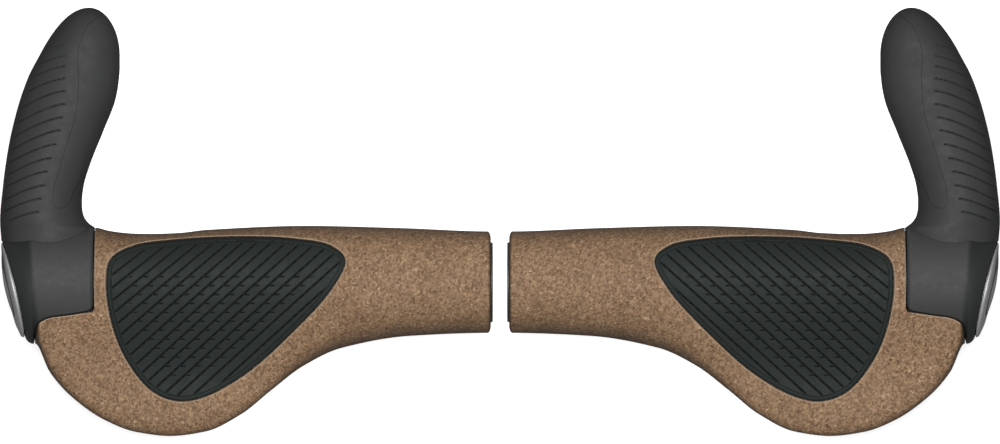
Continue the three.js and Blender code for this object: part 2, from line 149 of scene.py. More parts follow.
def mix(a, b, share):
    return a + (b - a) * share


front_reach = through([
    (3, 15.3), (30, 16.3), (58, 16.95), (88, 15.75), (96, 14.85), (104, 14.55), (109, 14.6), (114, 14.98),
    (117.4, 15.5), (121.3, 16.4), (140, 16.8),
])
top_height = through([(3, 15.3), (30, 16.2), (60, 16.7), (100, 16.3), (124, 16.15), (140, 15.4)])
bottom_depth = through([(3, 15.3), (30, 15.9), (60, 16.1), (100, 15.6), (140, 15.8)])
rear_reach = through([
    (3, 15.2), (27, 16.1), (47.5, 19.7), (59, 25.1), (68.5, 32.3), (77.5, 39.5), (88.5, 44.8),
    (99, 46.1), (109, 44.9), (118.5, 41.3), (128.7, 34.1), (135, 26.9), (139.45, 18.4),
])

PAD_OUTLINE = [
    (117.7, 0.5), (116.4, 7), (110, 10.8), (98, 12.6), (79, 13.6), (61.7, 13), (50.5, 10.8), (46.4, 6.8),
    (50.3, -1.8), (62.8, -15.5), (76, -27.2), (88, -34), (96, -35.5), (104, -32.6), (111.5, -23.6),
    (116, -12.5),
]
INLAY_OUTLINE = [
    (133.2, 22.4), (133.8, 26), (130.7, 38), (127, 50.5), (126.1, 61), (126.2, 70), (122.5, 78),
    (112, 82), (104, 66), (108, 40), (121, 35), (127, 28.4), (129.6, 22.9),
]


def closed_outline(points, samples, span_steps=24):
    """Points spaced evenly along a smooth closed curve through the given ones, as three.js draws it."""
    p = np.array(points, float)
    before, after, later = np.roll(p, 1, 0), np.roll(p, -1, 0), np.roll(p, -2, 0)

    def knot(a, b):
        return np.maximum(np.linalg.norm(b - a, axis=1, keepdims=True), 1e-6) ** 0.5

    d0, d1, d2 = knot(before, p), knot(p, after), knot(after, later)
    t1 = ((p - before) / d0 - (after - before) / (d0 + d1) + (after - p) / d1) * d1
    t2 = ((after - p) / d1 - (later - p) / (d1 + d2) + (later - after) / d2) * d1
    fine = []
    for t in np.linspace(0, 1, span_steps, endpoint=False):
        fine.append((2 * t**3 - 3 * t**2 + 1) * p + (t**3 - 2 * t**2 + t) * t1
                    + (3 * t**2 - 2 * t**3) * after + (t**3 - t**2) * t2)
    fine = np.stack(fine, 1).reshape(-1, 2)
    loop = np.vstack([fine, fine[:1]])
    run = np.concatenate([[0], np.cumsum(np.linalg.norm(np.diff(loop, axis=0), axis=1))])
    at = np.linspace(0, run[-1], samples, endpoint=False)
    return np.stack([np.interp(at, run, loop[:, 0]), np.interp(at, run, loop[:, 1])], 1)


def grown(outline, distance):
    """The same outline moved outward by a distance, or inward by a negative one."""
    along = np.roll(outline, -1, 0) - np.roll(outline, 1, 0)
    along /= np.linalg.norm(along, axis=1, keepdims=True)
    x, y = outline.T
    turn = np.sign(np.sum(x * np.roll(y, -1) - np.roll(x, -1) * y))
    return outline + turn * distance * np.stack([along[:, 1], -along[:, 0]], 1)


def inside_distance(outline, x, y):
    """How far each point lies inside a closed outline; negative outside it."""
    flat = np.stack([np.ravel(x), np.ravel(y)], 1)
    best = np.full(len(flat), np.inf)
    inside = np.zeros(len(flat), bool)
    for a, b in zip(outline, np.roll(outline, -1, 0)):
        d = b - a
        t = np.clip(((flat - a) @ d) / (d @ d), 0, 1)
        best = np.minimum(best, np.hypot(*(flat - a - t[:, None] * d).T))
        crosses = (a[1] > flat[:, 1]) != (b[1] > flat[:, 1])
        with np.errstate(divide="ignore", invalid="ignore"):
            where = a[0] + (flat[:, 1] - a[1]) * d[0] / d[1]
        inside ^= crosses & (flat[:, 0] < where)
    return np.where(inside, best, -best).reshape(np.shape(x))


def line_distance(line, x, y):
    """How far each point lies from an open line of straight pieces."""
    best = np.full(np.shape(x), np.inf)
    for (ax, ay), (bx, by) in zip(line, line[1:]):
        dx, dy = bx - ax, by - ay
        t = np.clip(((x - ax) * dx + (y - ay) * dy) / (dx * dx + dy * dy), 0, 1)
        best = np.minimum(best, np.hypot(x - ax - t * dx, y - ay - t * dy))
    return best


# ---- Meshes ----

def place(points):
    """Grip millimetres to frame metres."""
    return np.asarray(points, float) * MM + AXIS


def add_object(name, data):
    obj = bpy.data.objects.new(name, data)
    bpy.context.scene.collection.objects.link(obj)
    return obj


def new_piece(name, points, faces):
    mesh = bpy.data.meshes.new(name)
    mesh.from_pydata(place(points).tolist(), [], faces)
    return add_object(name, mesh)


def face_outward(obj):
    """Turns the faces of a closed mesh outward."""
    work = bmesh.new()
    work.from_mesh(obj.data)
    if work.calc_volume(signed=True) < 0:
        bmesh.ops.reverse_faces(work, faces=work.faces)
        work.to_mesh(obj.data)
    work.free()


def loft(name, rings):
    """A closed solid skinned over rings of points, with flat ends."""
    rings = np.asarray(rings, float)
    rows, count = rings.shape[:2]
    points = np.vstack([rings.reshape(-1, 3), rings[0].mean(0), rings[-1].mean(0)])
    i, j = np.meshgrid(np.arange(rows - 1), np.arange(count), indexing="ij")
    a, b = i * count + j, i * count + (j + 1) % count
    faces = np.stack([a, b, b + count, a + count], -1).reshape(-1, 4).tolist()
    first = rows * count
    last = first - count
    for k in range(count):
        following = (k + 1) % count
        faces.append((first, following, k))
        faces.append((first + 1, last + k, last + following))
    piece = new_piece(name, points, faces)
    face_outward(piece)
    return piece


def circle(count):
    turn = np.linspace(0, 2 * pi, count, endpoint=False)
    return np.cos(turn), np.sin(turn)


def turned_on_x(name, profile, count=96):
    """A closed solid turned about the handlebar's axis from (x, radius) points."""
    c, s = circle(count)
    return loft(name, [np.stack([np.full(count, x), r * c, r * s], 1) for x, r in profile])


def rod(start, end, radius):
    """The profile of a closed rod."""
    return [(start, 0), (start, radius), (end, radius), (end, 0)]


def bevelled(start, end, radius, length, depth):
    """The profile of a rod with bevelled edges."""
    return [(start, radius - depth), (start + length, radius), (end - length, radius), (end, radius - depth)]


def drill(target, radius, start=0.0, end=BEYOND_X, count=96):
    """Cuts a round hole about the handlebar's axis."""
    combine(target, turned_on_x("drill", rod(start, end, radius), count))


def rounded(profile, radius, steps=4):
    """The same profile with the corners between its ends rounded, no wider than their neighbours allow."""
    out = [profile[0]]
    for before, corner, after in zip(profile, profile[1:], profile[2:]):
        a, p, b = (np.array(v, float) for v in (before, corner, after))
        reach = min(radius, np.linalg.norm(a - p) * 0.45, np.linalg.norm(b - p) * 0.45)
        start = p + (a - p) / np.linalg.norm(a - p) * reach
        end = p + (b - p) / np.linalg.norm(b - p) * reach
        for t in np.linspace(0, 1, steps + 1):
            out.append(tuple((1 - t) ** 2 * start + 2 * t * (1 - t) * p + t * t * end))
    out.append(profile[-1])
    return out


def prism(name, outline, z0, z1):
    """An outline seen from above, drawn out between two heights."""
    outline = np.asarray(outline, float)
    count = len(outline)
    low = np.column_stack([outline, np.full(count, z0)])
    high = np.column_stack([outline, np.full(count, z1)])
    x, y = outline.T
    if np.sum(x * np.roll(y, -1) - np.roll(x, -1) * y) < 0:
        low, high = low[::-1], high[::-1]
    faces = [tuple(range(count - 1, -1, -1)), tuple(range(count, 2 * count))]
    faces += [(k, (k + 1) % count, (k + 1) % count + count, k + count) for k in range(count)]
    return new_piece(name, np.vstack([low, high]), faces)


def block(name, low, high):
    (x0, y0, z0), (x1, y1, z1) = low, high
    return prism(name, [(x0, y0), (x1, y0), (x1, y1), (x0, y1)], z0, z1)


def combine(target, cutter, operation="DIFFERENCE"):
    """Applies a boolean to the target and removes the cutter."""
    modifier = target.modifiers.new("cut", "BOOLEAN")
    modifier.operation = operation
    modifier.solver = "MANIFOLD"
    modifier.object = cutter
    graph = bpy.context.evaluated_depsgraph_get()
    mesh = bpy.data.meshes.new_from_object(target.evaluated_get(graph))
    target.modifiers.clear()
    old = target.data
    target.data = mesh
    bpy.data.meshes.remove(old)
    bpy.data.objects.remove(cutter)


def grip_points(obj):
    """A piece's points in grip millimetres."""
    co = np.empty(len(obj.data.vertices) * 3)
    obj.data.vertices.foreach_get("co", co)
    return (co.reshape(-1, 3) - AXIS) / MM


def set_grip_points(obj, points):
    obj.data.vertices.foreach_set("co", place(points).ravel())
    obj.data.update()


def refine_near(obj, near, cuts=3):
    """Splits the faces whose middles near() accepts, so that small rounded edges have points to bend."""
    work = bmesh.new()
    work.from_mesh(obj.data)
    work.faces.ensure_lookup_table()
    middles = np.array([face.calc_center_median() for face in work.faces])
    chosen = near((middles - AXIS) / MM)
    edges = {edge for face, take in zip(work.faces, chosen) if take for edge in face.edges}
    bmesh.ops.subdivide_edges(work, edges=list(edges), cuts=cuts, use_grid_fill=True)
    work.to_mesh(obj.data)
    work.free()


def sink(obj, drop):
    """Moves each point inward by its own drop."""
    normals = np.empty(len(obj.data.vertices) * 3)
    obj.data.vertex_normals.foreach_get("vector", normals)
    set_grip_points(obj, grip_points(obj) - normals.reshape(-1, 3) * drop[:, None])


def round_drop(distance, radius):
    """How far an edge rounded to a radius has fallen at a distance from the edge."""
    near = np.clip(radius - np.asarray(distance, float), 0, radius)
    return radius - np.sqrt(np.maximum(radius**2 - near**2, 0))


WELD = 0.004  # points nearer than this become one
LEAST_EDGE = 0.002  # edges shorter than this are dissolved


def finish_mesh(obj, sharp_angle=38):
    """Cleans tiny leftovers, shades smooth and keeps edges sharper than the angle crisp."""
    work = bmesh.new()
    work.from_mesh(obj.data)
    bmesh.ops.remove_doubles(work, verts=work.verts, dist=WELD * MM)
    bmesh.ops.dissolve_degenerate(work, edges=work.edges, dist=LEAST_EDGE * MM)
    limit = radians(sharp_angle)
    for face in work.faces:
        face.smooth = True
    for edge in work.edges:
        edge.smooth = len(edge.link_faces) == 2 and edge.calc_face_angle(0) < limit
    work.to_mesh(obj.data)
    work.free()
    obj.data.update()


def both_sides(obj, name, body, material):
    """Names and rides the right-hand piece, and adds its mirror image for the left."""
    mirrored = obj.data.copy()
    co = np.empty(len(mirrored.vertices) * 3)
    mirrored.vertices.foreach_get("co", co)
    mirrored.vertices.foreach_set("co", (co.reshape(-1, 3) * [-1, 1, 1]).ravel())
    mirrored.flip_normals()
    for side, piece in (("right", obj), ("left", add_object("left", mirrored))):
        piece.name = f"{side}_{name}_visual"
        piece.data.name = piece.name
        piece.data.materials.clear()
        piece.data.materials.append(material)
        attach(piece, body if body == "grips" else f"{side}_{body}")
        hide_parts(f"{side}_{name}")


def set_attribute(obj, name, values):
    attribute = obj.data.attributes.new(name, "FLOAT", "POINT")
    attribute.data.foreach_set("value", np.asarray(values, np.float32))


# ---- The cork and the palm pad ----

def cork_section(x, across, up, shrink=1.0):
    """The cork's outside at x for a direction round it: a round barrel, drawn out rearward as the wing."""
    wing = smoothstep(x, WING_START_X, WING_FULL_X)
    roll = np.sqrt(np.clip(1 - (np.maximum(x - WING_ROLL_X, 0) / WING_ROLL_LENGTH) ** 2, 0, 1))
    front, rear = front_reach(x) * shrink, rear_reach(x) * shrink
    top, bottom = top_height(x) * shrink, -bottom_depth(x) * shrink
    power = mix(2.0, WING_NOSE_POWER, wing)
    behind = np.clip(-across, 0, 1)
    nose = mix(np.abs(up), np.sqrt(np.clip(1 - behind**power, 0, 1)), wing)
    drop = wing * smoothstep(rear * behind, 0, WING_DROP_Y)
    crest = drop * (WING_UPPER + WING_LOWER) / 2
    upper, lower = mix(top, WING_UPPER, drop) - crest, mix(bottom, WING_LOWER, drop) - crest
    z_rear = crest + nose * np.where(up > 0, upper, lower)
    z_front = np.where(up > 0, top, -bottom) * up
    y = np.where(across >= 0, front * across, rear * across)
    return y, roll * np.where(across >= 0, z_front, z_rear)


def cork_top(x, y):
    """The height of the cork's outside above a place seen from above."""
    reach = np.where(y >= 0, front_reach(x), rear_reach(x))
    across = np.clip(y / reach, -1, 1)
    return cork_section(x, across, np.sqrt(1 - across**2))[1]


pad_outline = closed_outline(PAD_OUTLINE, 260)
PAD_SINK = 0.15  # how far the pad's face lies below the cork's
PAD_DEPTH = 2.5
PAD_SIDE_Z = 2.0  # the pad lies above this height
RIM_RADIUS = 0.4  # rounding of the cork round the pad
EDGE_RADIUS = 0.35  # rounding of the cork's edge round the collar
EDGE_FADE_Y = (13.0, 15.5)  # that rounding dies out between these
REFINED = 1.1  # the mesh is finer this near those edges, on the cork and on the collar
COLLAR_REFINED = 1.3
POCKET_SPLIT_Z = 4.0  # the pocket ends at POCKET_EDGE above this, at its round wall below
POCKET_CUT_Z = 5.0  # where the cut along POCKET_EDGE starts
POCKET_EDGE = [
    (121.3, -6.4), (121.6, -7.6), (122.4, -8.5), (123.6, -8.95), (127, -9.6), (130.5, -10.1),
    (133.9, -10.5), (136, -11.1), (137.6, -12), (138.5, -12.9), (139.1, -14.3), (139.4, -16.4),
]
WEB_OUTLINE = [(60, -8), (69, -23), (84, -31), (100, -32.5), (114, -29), (119, -20), (119, -8)]
WEB_LOW, WEB_HIGH = 0.6, 3.2


def cork_edges(points):
    """Distance of points on the cork's outside from the pad's recess, and from the collar's pocket."""
    x, y, z = points.T
    pad = np.where(z > PAD_SIDE_Z, np.abs(inside_distance(grown(pad_outline, GAP), x, y)), np.inf)
    wall = np.where(y > POCKET_EDGE[0][1], np.abs(POCKET_X - x), np.inf)
    edge = np.where(z > POCKET_SPLIT_Z, line_distance(POCKET_EDGE, x, y), np.inf)
    below = (x > POCKET_X - 1) & (z < POCKET_SPLIT_Z)
    hollow = np.where(below, np.abs(np.hypot(y, z) - POCKET_RADIUS), np.inf)
    return pad, np.minimum(np.minimum(wall, edge), hollow)


def cork_body():
    """The cork's outside: the rounded inboard end, the barrel and wing, and the rolled outboard end."""
    count = 220
    across, up = circle(count)
    stations = []
    for share in np.sin(np.linspace(0, pi / 2, 9))[:-1]:
        x = CORK_X + (1 - sqrt(1 - share**2)) * CORK_END_ROUND
        stations.append((x, mix(CORK_FACE_RADIUS / CORK_START_RADIUS, 1, share)))
    middle = np.arange(CORK_X + CORK_END_ROUND, WING_ROLL_X, 0.85)
    roll_turn = asin((WING_END_X - WING_ROLL_X) / WING_ROLL_LENGTH)
    roll = WING_ROLL_X + WING_ROLL_LENGTH * np.sin(np.linspace(0, roll_turn, 12))
    stations += [(x, 1) for x in np.concatenate([middle, roll])]
    rings = []
    for at, shrink in stations:
        x = np.full(count, at)
        rings.append(np.column_stack([x, *cork_section(x, across, up, shrink)]))
    return loft("cork", rings)


def cut_pocket(cork):
    """Makes room in the cork for the collar, and for the bolt's head beside it."""
    turn = np.linspace(0, pi / 2, 7)
    round_x = [POCKET_X + POCKET_ROUND * (1 - cos(t)) for t in turn]
    round_in = [POCKET_ROUND * (1 - sin(t)) for t in turn]
    hollow = [(x, POCKET_RADIUS - off) for x, off in zip(round_x, round_in)]
    hollow = [(POCKET_X, 0)] + hollow + [(BEYOND_X, POCKET_RADIUS), (BEYOND_X, 0)]
    combine(cork, turned_on_x("hollow", hollow, 160))
    front = [(x, POCKET_FRONT + off) for x, off in zip(round_x, round_in)]
    front = [(POCKET_X, BEYOND)] + front + [(BEYOND_X, POCKET_FRONT), (BEYOND_X, BEYOND)]
    combine(cork, prism("front", front, -BEYOND, BEYOND))
    edge = [(POCKET_X, BEYOND)] + POCKET_EDGE + [(BEYOND_X, POCKET_EDGE[-1][1]), (BEYOND_X, BEYOND)]
    combine(cork, prism("edge", edge, POCKET_CUT_Z, BEYOND))
    combine(cork, block("relief", (RELIEF_X, RELIEF_REAR, -BEYOND), (BEYOND_X, 0, RELIEF_TOP)))


def web(room):
    """The core's web inside the wing, grown by room."""
    return prism("web", grown(closed_outline(WEB_OUTLINE, 90), room), WEB_LOW - room, WEB_HIGH + room)


def make_cork():
    cork = cork_body()
    refine_near(cork, lambda p: np.minimum(*cork_edges(p)) < REFINED)
    points = grip_points(cork)
    pad, collar = cork_edges(points)
    behind = 1 - smoothstep(points[:, 1], *EDGE_FADE_Y)
    sink(cork, round_drop(pad, RIM_RADIUS) + round_drop(collar, EDGE_RADIUS) * behind)
    recess = prism("recess", grown(pad_outline, GAP), 0, BEYOND)
    combine(recess, pad_floor(PAD_SINK + PAD_DEPTH + GAP))
    combine(cork, recess)
    drill(cork, CORE_RADIUS + GAP)
    cut_pocket(cork)
    combine(cork, web(GAP))
    finish_mesh(cork)
    pad, collar = cork_edges(grip_points(cork))
    # the rim attribute marks where a highlight is painted along the cork's edges
    set_attribute(cork, "rim", 1 - smoothstep(np.minimum(pad, collar), 0.05, 0.45))
    both_sides(cork, "cork_grip", "grips", cork_material())


COARSE = 5  # a slab's underside has one point to this many on its top


def grid_solid(name, xs, ys, top, bottom):
    """A slab between two height functions: a fine top, a coarser bottom and upright sides."""
    gx, gy = np.meshgrid(xs, ys, indexing="ij")
    cx, cy = np.meshgrid(xs[::COARSE], ys[::COARSE], indexing="ij")
    points = np.vstack([
        np.column_stack([gx.ravel(), gy.ravel(), top(gx, gy).ravel()]),
        np.column_stack([cx.ravel(), cy.ravel(), bottom(cx, cy).ravel()]),
    ])
    (nx, ny), (mx, my) = gx.shape, cx.shape
    along = np.arange(COARSE + 1)
    low = nx * ny

    def cells(first, rows, columns):
        i, j = np.meshgrid(np.arange(rows - 1), np.arange(columns - 1), indexing="ij")
        a = first + (i * columns + j).ravel()
        return np.stack([a, a + columns, a + columns + 1, a + 1], 1)

    faces = cells(0, nx, ny).tolist() + cells(low, mx, my)[:, [0, 3, 2, 1]].tolist()
    for k in range(mx - 1):
        fine = (k * COARSE + along) * ny
        b = low + k * my
        faces.append([b, b + my, *fine[::-1]])
        faces.append([b + 2 * my - 1, b + my - 1, *(fine + ny - 1)])
    for k in range(my - 1):
        fine = k * COARSE + along
        b = low + k
        faces.append([b + 1, b, *fine])
        b += (mx - 1) * my
        faces.append([b, b + 1, *(fine + (nx - 1) * ny)[::-1]])
    return new_piece(name, points, faces)


def pad_span(step):
    """Grid places covering the pad's outline with a margin, in a whole number of COARSE steps."""
    low, high = pad_outline.min(0) - PAD_MARGIN, pad_outline.max(0) + PAD_MARGIN
    steps = [COARSE * ceil((h - l) / step / COARSE) for l, h in zip(low, high)]
    return np.linspace(low[0], high[0], steps[0] + 1), np.linspace(low[1], high[1], steps[1] + 1)


def pad_floor(depth):
    """A slab whose top follows the cork's outside at a depth below it."""
    xs, ys = pad_span(1.0)
    return grid_solid("floor", xs, ys, lambda x, y: cork_top(x, y) - depth, lambda x, y: x * 0 - PAST_CORE)


PAD_MARGIN = 1.5
PAD_CUT_Z = (-20.0, 40.0)  # well below and above the pad
PAD_SPACING = 0.16  # between the points of the pad's face
PAD_SHOULDER, PAD_FALL = 1.25, 0.75  # width of the pad's fallen edge, and how far it falls
BORDER_WIDTH = 0.38  # the line at the top of the shoulder
BORDER_DEPTH = 0.3
GROOVE_SLOPE = radians(42.2)
GROOVE_FAN = radians(3.6)  # how much flatter the outermost groove lies; the fan ends at FAN_COUNT
FAN_COUNT = 8
GROOVE_COUNT = 16
GROOVE_FIRST = 79.2  # from the origin to the outermost groove, square to the grooves
GROOVE_STEP = 3.03
GROOVE_MIDDLE = 78.2  # from there along it to the point it fans about; less for each next one
GROOVE_DRIFT = 1.2
GROOVE_WIDTH = 0.52
GROOVE_DEPTH = 0.65
GROOVE_FADE = (1.5, 1.9)  # the grooves set in between these distances from the pad's outline
TICK_FIRST = 1.72  # the front row of ticks
TICK_STEP = 2.69
TICK_COUNT = 12
TICK_LENGTH = 1.75
TICK_WIDTH = 0.42
TICK_DEPTH = 0.45
TICK_FADE = (3.5, 9.0)  # and the ticks between these


def channel(distance, width, depth):
    """A channel's depth at a distance from its middle: flat sided, with rounded lips."""
    return depth * (1 - smoothstep(distance, width * 0.15, width * 0.6))


def groove_lines():
    """Each groove as a unit normal and an offset from the origin; the outer ones fan out a little."""
    number = np.arange(GROOVE_COUNT)
    across = GROOVE_FIRST - number * GROOVE_STEP
    along = GROOVE_MIDDLE - number * GROOVE_DRIFT
    c, s = cos(GROOVE_SLOPE), sin(GROOVE_SLOPE)
    angle = GROOVE_SLOPE - GROOVE_FAN * np.clip(1 - number / FAN_COUNT, 0, 1)
    normal_x, normal_y = np.sin(angle), np.cos(angle)
    return normal_x, normal_y, normal_x * (across * s + along * c) + normal_y * (across * c - along * s)


def pad_marks(x, y):
    """The depth of the pad's border line, its diagonal grooves and the short ticks that branch off them."""
    inside = inside_distance(pad_outline, x, y)
    row = np.clip(np.round((TICK_FIRST - y) / TICK_STEP), 0, TICK_COUNT - 1)
    row_y = TICK_FIRST - row * TICK_STEP
    off = np.full(np.shape(x), np.inf)
    reach = np.full(np.shape(x), np.inf)
    for normal_x, normal_y, offset in zip(*groove_lines()):
        off = np.minimum(off, np.abs(normal_x * x + normal_y * y - offset))
        ahead = (offset - normal_y * row_y) / normal_x - x
        reach = np.where(ahead > -0.2, np.minimum(reach, ahead), reach)
    grooves = channel(off, GROOVE_WIDTH, GROOVE_DEPTH) * smoothstep(inside, *GROOVE_FADE)
    past_tick = np.maximum(reach - TICK_LENGTH, 0)
    ticks = channel(np.hypot(past_tick, y - row_y), TICK_WIDTH, TICK_DEPTH) * smoothstep(inside, *TICK_FADE)
    border = channel(np.abs(inside - PAD_SHOULDER), BORDER_WIDTH, BORDER_DEPTH)
    return np.maximum(np.maximum(grooves, border), ticks)


def pad_relief(x, y):
    """How far the pad's face lies below its smooth dome: border, grooves and ticks."""
    inside = inside_distance(pad_outline, x, y)
    shoulder = np.clip(PAD_SHOULDER - inside, 0, PAD_SHOULDER) / PAD_SHOULDER
    fall = PAD_FALL * (1 - np.sqrt(np.clip(1 - shoulder**2, 0, 1)))
    return fall + pad_marks(x, y)


def make_pad():
    xs, ys = pad_span(PAD_SPACING)
    pad = grid_solid("pad", xs, ys, lambda x, y: cork_top(x, y) - PAD_SINK - pad_relief(x, y),
                     lambda x, y: cork_top(x, y) - PAD_SINK - PAD_DEPTH)
    combine(pad, prism("outline", pad_outline, *PAD_CUT_Z), "INTERSECT")
    finish_mesh(pad, 75)
    x, y, z = grip_points(pad).T
    upper = z > cork_top(x, y) - PAD_SINK - (GROOVE_DEPTH + PAD_DEPTH) / 2
    # the groove attribute marks where shade is painted into the pad's grooves, ticks and border line
    set_attribute(pad, "groove", upper * pad_marks(x, y) / GROOVE_DEPTH)
    material = rubber_material("pad rubber", (0.0134, 0.0184, 0.0174), 0.72, 0.25)
    both_sides(pad, "palm_pad", "grips", material)


SLOT_LENGTH, SLOT_HALF_WIDTH = 17.0, 1.1  # between the core's collet fingers


def make_core():
    outside = [(CORE_X, 0), (CORE_X, LIP_RADIUS), (CORK_X, LIP_RADIUS), (CORK_X, CORE_RADIUS),
               (CORE_END_X, CORE_RADIUS), (CORE_END_X, 0)]
    core = turned_on_x("core", rounded(outside, 0.25))
    combine(core, web(0), "UNION")
    drill(core, BORE_RADIUS)
    for angle in (pi / 4, 3 * pi / 4):
        slot = block("slot", (CORE_END_X - SLOT_LENGTH, -SLOT_HALF_WIDTH, -PAST_CORE),
                     (CORE_END_X + PAST_CORE, SLOT_HALF_WIDTH, PAST_CORE))
        x, y, z = grip_points(slot).T
        c, s = cos(angle), sin(angle)
        set_grip_points(slot, np.column_stack([x, y * c - z * s, y * s + z * c]))
        combine(core, slot)
    finish_mesh(core)
    nylon, _ = plastic("nylon", (0.03, 0.032, 0.034), 0.5, 900)
    both_sides(core, "grip_core", "grips", nylon.material)


# ---- The horn ----

HORN_START_Y = 6.0  # inside the collar
TIP_START_Y = 68.0
TIP_Y = 82.4
TIP_X = 123.3  # the tip's foremost point
TIP_INNER = 9.25  # the tip's widths to both sides of it, and half its height
TIP_OUTER = 14.9
TIP_HEIGHT = 10.4
LEAST_HALF = 0.15  # sections get no smaller than this
SKIN = 1.9
horn_inner = through([
    (6, 121.38), (16.1, 121.4), (16.5, 121.68), (17.4, 122.95), (18.5, 124.05), (20, 124.9),
    (22.4, 125.35), (24.4, 125.38), (28.5, 124.95), (34.4, 123.3), (45.2, 119.05), (55, 115.3),
    (60, 114.4), (64.5, 114.05), (68, 114.05),
])
horn_outer = through([
    (6, 149.5), (12, 149.6), (18.2, 150), (29, 149.1), (39.8, 147.6), (50.6, 145.2), (61.4, 141.6),
    (68, 138.2), (72, 136),
])
horn_height = through([(6, 12.3), (18, 12.3), (31, 11.7), (45, 11.4), (58, 11.5), (68, TIP_HEIGHT)])


def horn_rings(inset, spacing, count):
    """The horn's sections from inside the collar to the tip, shrunk by inset."""
    end = TIP_Y - inset
    body = np.arange(HORN_START_Y, TIP_START_Y, spacing)
    tip_count = int(1.6 * (end - TIP_START_Y) / spacing)
    turn = np.linspace(0, pi / 2 * 0.985, tip_count)
    tip = TIP_START_Y + (end - TIP_START_Y) * np.sin(turn)
    c, s = circle(count)
    rings = []
    for y in np.concatenate([body, tip]):
        run = max(y - TIP_START_Y, 0) / (TIP_Y - TIP_START_Y)
        if run > 0:
            inner = TIP_X - TIP_INNER * sqrt(1 - run**2)
            outer = TIP_X + TIP_OUTER * sqrt(1 - run)
            height = TIP_HEIGHT * sqrt(1 - run**2)
        else:
            inner, outer, height = horn_inner(y), horn_outer(y), horn_height(y)
        half_width = max((outer - inner) / 2 - inset, LEAST_HALF)
        half_height = max(height - inset, LEAST_HALF)
        x = (inner + outer) / 2 + half_width * s
        rings.append(np.column_stack([x, np.full(count, y), half_height * c]))
    return rings


RIBS = [  # where each curved groove starts, as (x, y)
    (130.6, 71.2), (130.3, 67.8), (130.3, 64.8), (130.3, 61.1), (130.2, 57.3), (130.2, 53.4), (130.9, 49.4),
    (131.6, 45.5), (132.9, 41.3), (134.3, 37.2), (135.4, 33.2), (136.1, 29.1), (137.3, 25.1), (138.2, 21.1),
]
RIB_WIDTH = 0.46
RIB_DEPTH = 0.4
RIB_RUN, RIB_SAG = 12.0, 4.2  # after that run outward a groove has curved this far back
RIB_TIP_Y = (62.0, 71.0)  # the grooves get fainter between these
RIB_START_Y = (17.5, 19.5)  # and set in between these
RIB_FLANK_Z = (2.5, 6.0)  # and die out between these, down the horn's flanks


def horn_relief(x, y, z):
    """The depth of the horn's curved grooves, the same on top and underneath."""
    depth = np.zeros(len(x))
    for start, level in RIBS:
        run = np.clip(x - start, 0, None)
        line = level - RIB_SAG * (run / RIB_RUN) ** 1.5
        slope = RIB_SAG * 1.5 / RIB_RUN * np.sqrt(run / RIB_RUN)
        off = np.abs(y - line) / np.sqrt(1 + slope**2)
        gap = np.hypot(off, np.clip(start - x, 0, None))
        depth = np.maximum(depth, channel(gap, RIB_WIDTH, RIB_DEPTH))
    faint = 1 - 0.6 * smoothstep(y, *RIB_TIP_Y)
    return depth * faint * smoothstep(y, *RIB_START_Y) * smoothstep(np.abs(z), *RIB_FLANK_Z)


inlay_outline = closed_outline(INLAY_OUTLINE, 160)
SEAM_RADIUS = 0.09  # rounding beside the inlay's seam, and the seam's width
SEAM_GAP = 0.08
COLLAR_GAP = 0.16  # between the horn's skin and the collar


def make_horn():
    skin = loft("skin", horn_rings(0, 0.28, 240))
    x, y, z = grip_points(skin).T
    seam = np.abs(inside_distance(inlay_outline, x, y))
    sink(skin, horn_relief(x, y, z) + round_drop(seam, SEAM_RADIUS))
    combine(skin, loft("inside", horn_rings(SKIN, 1.0, 96)))
    combine(skin, collar_outside("collar_room", COLLAR_GAP, ROOM_X))
    seat = CAP_SEAT_RADIUS + GAP
    combine(skin, turned_on_cap("cap_room", [(-1, seat), (PAST_CAP, seat)]))

    inlay = add_object("inlay", skin.data.copy())
    combine(skin, prism("seam", grown(inlay_outline, SEAM_GAP / 2), -BEYOND, BEYOND))
    combine(inlay, prism("seam", grown(inlay_outline, -SEAM_GAP / 2), -BEYOND, BEYOND), "INTERSECT")
    material = rubber_material("skin rubber", (0.0355, 0.036, 0.036), 0.66, 0.4)
    for piece in (skin, inlay):
        finish_mesh(piece, 60)
        # the groove attribute marks where shade is painted into the horn's grooves
        set_attribute(piece, "groove", horn_relief(*grip_points(piece).T) / RIB_DEPTH)
    both_sides(skin, "horn_rubber", "bar_end", material)
    both_sides(inlay, "horn_inlay", "bar_end", material)


# ---- The collar and its fasteners ----

CAP = np.array([145.75, -2.2, 0])  # the slanted end's middle
CAP_SLANT, CAP_TILT = radians(13.4), radians(4)
CAP_SEAT_RADIUS = 14.9
PAST_CAP, PAST_SPIGOT = 8.0, 5.0  # how far cutting shapes reach out of that end
COLLAR_EDGE_RADIUS = 15.7  # where the collar starts to swell to COLLAR_RADIUS
COLLAR_EDGE_LENGTH = 1.5
COLLAR_STRAIGHT_END = 139.5
COLLAR_BULGE = 0.09  # of the part drawn over to the slanted end
HEEL_X = 139.9  # where that part starts, and how much it swells rearward there
HEEL_SWELL = 0.085
RIM_ROUND_START, RIM_SHARE = 0.93, 0.985  # shares of its length between which it is rounded off
RIM_ROUND = 0.012
RIM_CLOSE = 0.985  # its last ring's size against the cap's seat
CORK_LINE_WIDTH = 0.9  # the shallow channel in the collar along the cork's edge
CORK_LINE_DEPTH = 0.45
RING_RADIUS = 14.5
RING_SPIGOT_RADIUS = 12.6
RING_SPIGOT_LENGTH = 1.2
RING_HOLE_RADIUS = 10.2
RING_TAPER = 0.72  # the share of the ring's thickness that is gone at its front
RING_FACE = [  # (height, radius) from its rim to its hole
    (0.45, RING_RADIUS), (0.75, RING_RADIUS), (1.0, 14.35), (1.2, 14.1), (1.32, 13.7), (1.5, 12.8),
    (1.9, 10.9), (1.88, 10.4), (1.2, 9.7), (0.6, 9.2),
]
BAR_STOP_X = 140.6  # where the handlebar's end stops
PLUG_RADIUS = 9.8
